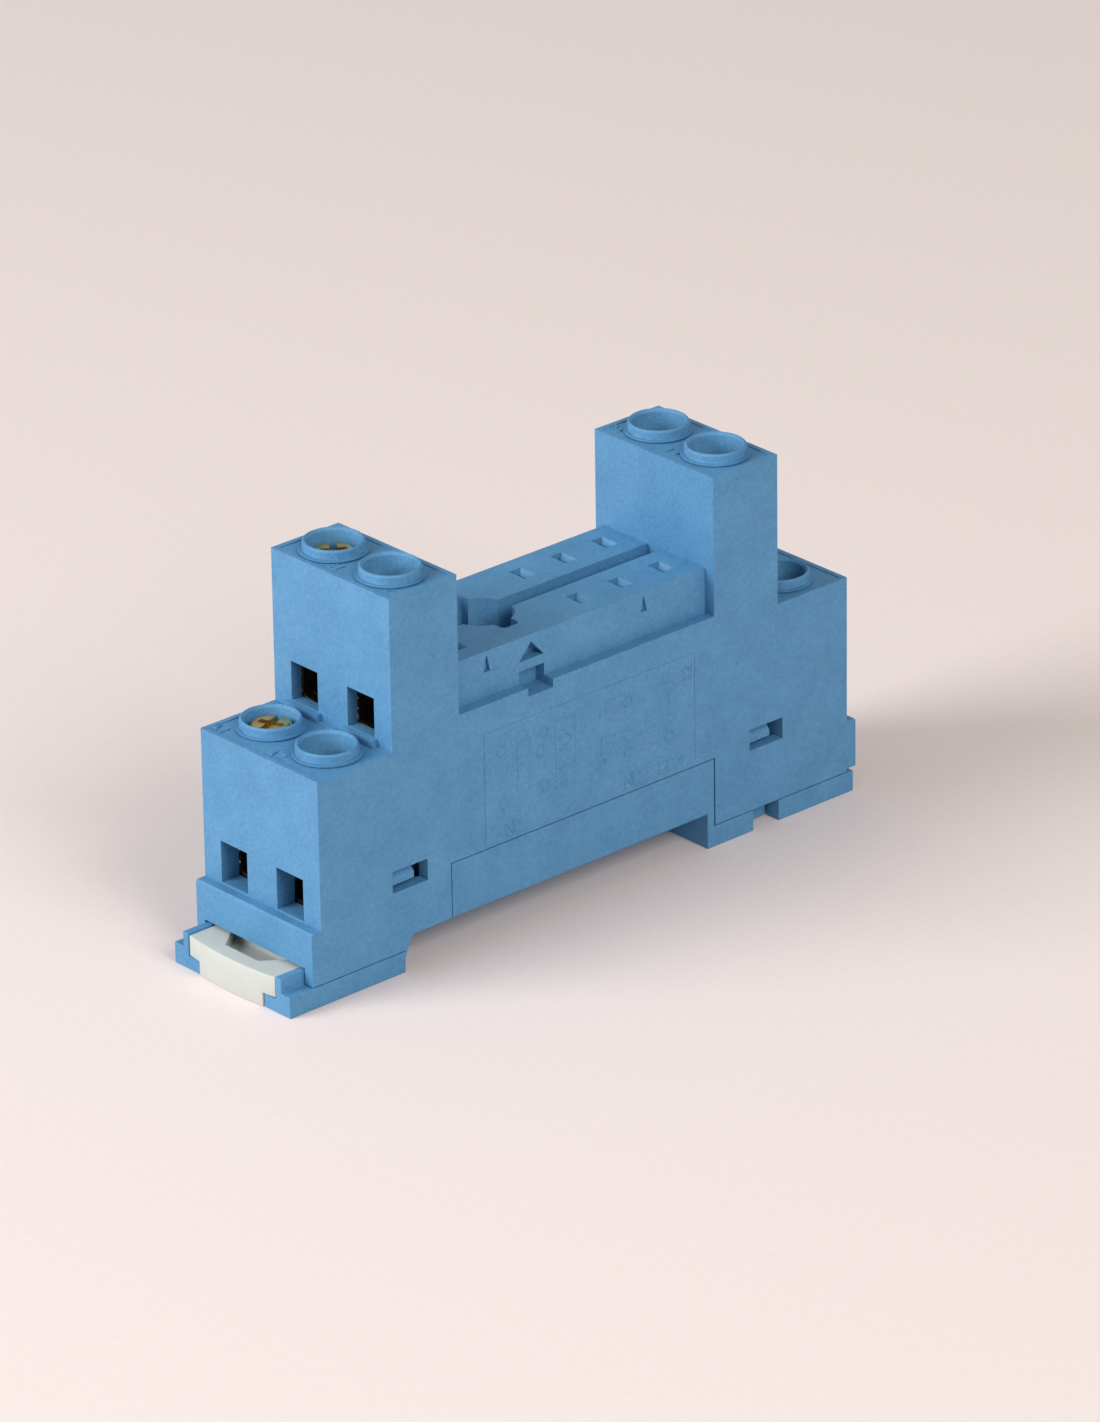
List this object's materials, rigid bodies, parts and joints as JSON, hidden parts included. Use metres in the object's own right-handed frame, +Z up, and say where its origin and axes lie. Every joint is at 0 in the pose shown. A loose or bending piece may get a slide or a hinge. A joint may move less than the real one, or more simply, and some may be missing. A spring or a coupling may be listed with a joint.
{
  "type": "relay socket",
  "caption": "Narrow rail-mounting socket for a plug-in relay, with screw clamp terminals on two levels at each end and a spring-loaded rail latch.",
  "frame": {"origin": "bottom centre of the bounding box, on the standing face", "axes": "+X along the socket from the latch end to the fixed end, +Y across it, +Z up from the rail side to the relay side"},
  "size_m": [0.0694, 0.0158, 0.0376],
  "materials": {
    "housing_plastic": "fine satin texture, mid blue",
    "latch_nylon": "natural white, satin",
    "screw_steel": "yellow passivated zinc",
    "cage_steel": "pale passivated zinc",
    "strip_brass": "rolled, satin"
  },
  "bodies": {
    "socket": {"housing": "housing_plastic", "rail_base": "housing_plastic", "contact_strip_1": "strip_brass", "contact_strip_2": "strip_brass", "contact_strip_3": "strip_brass", "contact_strip_4": "strip_brass", "contact_strip_5": "strip_brass", "contact_strip_6": "strip_brass", "contact_strip_7": "strip_brass", "contact_strip_8": "strip_brass"},
    "latch": {"rail_latch": "latch_nylon"},
    "screw_1": {"terminal_screw_1": "screw_steel"},
    "cage_1": {"clamp_cage_1": "cage_steel"},
    "screw_2": {"terminal_screw_2": "screw_steel"},
    "cage_2": {"clamp_cage_2": "cage_steel"},
    "screw_3": {"terminal_screw_3": "screw_steel"},
    "cage_3": {"clamp_cage_3": "cage_steel"},
    "screw_4": {"terminal_screw_4": "screw_steel"},
    "cage_4": {"clamp_cage_4": "cage_steel"},
    "screw_5": {"terminal_screw_5": "screw_steel"},
    "cage_5": {"clamp_cage_5": "cage_steel"},
    "screw_6": {"terminal_screw_6": "screw_steel"},
    "cage_6": {"clamp_cage_6": "cage_steel"},
    "screw_7": {"terminal_screw_7": "screw_steel"},
    "cage_7": {"clamp_cage_7": "cage_steel"},
    "screw_8": {"terminal_screw_8": "screw_steel"},
    "cage_8": {"clamp_cage_8": "cage_steel"}
  },
  "joints": [
    {"name": "latch_slide", "type": "slide", "parent": "socket", "child": "latch", "axis": [-1, 0, 0], "range_m": [0, 0.0025], "stiffness_N_per_m": 3000},
    {"name": "screw_turn_1", "type": "hinge", "parent": "socket", "child": "screw_1", "pos_m": [-0.02575, 0.0038, 0.0186], "axis": [0, 0, -1], "range_deg": [0, 1980.1]},
    {"name": "cage_rise_1", "type": "slide", "parent": "socket", "child": "cage_1", "axis": [0, 0, 1], "range_m": [0, 0.00275]},
    {"name": "screw_turn_2", "type": "hinge", "parent": "socket", "child": "screw_2", "pos_m": [-0.02575, -0.0038, 0.0186], "axis": [0, 0, -1], "range_deg": [0, 1980.1]},
    {"name": "cage_rise_2", "type": "slide", "parent": "socket", "child": "cage_2", "axis": [0, 0, 1], "range_m": [0, 0.00275]},
    {"name": "screw_turn_3", "type": "hinge", "parent": "socket", "child": "screw_3", "pos_m": [-0.01795, 0.0038, 0.0334], "axis": [0, 0, -1], "range_deg": [0, 1980.1]},
    {"name": "cage_rise_3", "type": "slide", "parent": "socket", "child": "cage_3", "axis": [0, 0, 1], "range_m": [0, 0.00275]},
    {"name": "screw_turn_4", "type": "hinge", "parent": "socket", "child": "screw_4", "pos_m": [-0.01795, -0.0038, 0.0334], "axis": [0, 0, -1], "range_deg": [0, 1980.1]},
    {"name": "cage_rise_4", "type": "slide", "parent": "socket", "child": "cage_4", "axis": [0, 0, 1], "range_m": [0, 0.00275]},
    {"name": "screw_turn_5", "type": "hinge", "parent": "socket", "child": "screw_5", "pos_m": [0.02105, 0.0038, 0.0334], "axis": [0, 0, -1], "range_deg": [0, 1980.1]},
    {"name": "cage_rise_5", "type": "slide", "parent": "socket", "child": "cage_5", "axis": [0, 0, 1], "range_m": [0, 0.00275]},
    {"name": "screw_turn_6", "type": "hinge", "parent": "socket", "child": "screw_6", "pos_m": [0.02105, -0.0038, 0.0334], "axis": [0, 0, -1], "range_deg": [0, 1980.1]},
    {"name": "cage_rise_6", "type": "slide", "parent": "socket", "child": "cage_6", "axis": [0, 0, 1], "range_m": [0, 0.00275]},
    {"name": "screw_turn_7", "type": "hinge", "parent": "socket", "child": "screw_7", "pos_m": [0.02885, 0.0038, 0.0186], "axis": [0, 0, -1], "range_deg": [0, 1980.1]},
    {"name": "cage_rise_7", "type": "slide", "parent": "socket", "child": "cage_7", "axis": [0, 0, 1], "range_m": [0, 0.00275]},
    {"name": "screw_turn_8", "type": "hinge", "parent": "socket", "child": "screw_8", "pos_m": [0.02885, -0.0038, 0.0186], "axis": [0, 0, -1], "range_deg": [0, 1980.1]},
    {"name": "cage_rise_8", "type": "slide", "parent": "socket", "child": "cage_8", "axis": [0, 0, 1], "range_m": [0, 0.00275]}
  ],
  "couplings": [
    {"joint": "screw_turn_1", "follows": "cage_rise_1", "rad_per_m": 12566},
    {"joint": "screw_turn_2", "follows": "cage_rise_2", "rad_per_m": 12566},
    {"joint": "screw_turn_3", "follows": "cage_rise_3", "rad_per_m": 12566},
    {"joint": "screw_turn_4", "follows": "cage_rise_4", "rad_per_m": 12566},
    {"joint": "screw_turn_5", "follows": "cage_rise_5", "rad_per_m": 12566},
    {"joint": "screw_turn_6", "follows": "cage_rise_6", "rad_per_m": 12566},
    {"joint": "screw_turn_7", "follows": "cage_rise_7", "rad_per_m": 12566},
    {"joint": "screw_turn_8", "follows": "cage_rise_8", "rad_per_m": 12566}
  ]
}
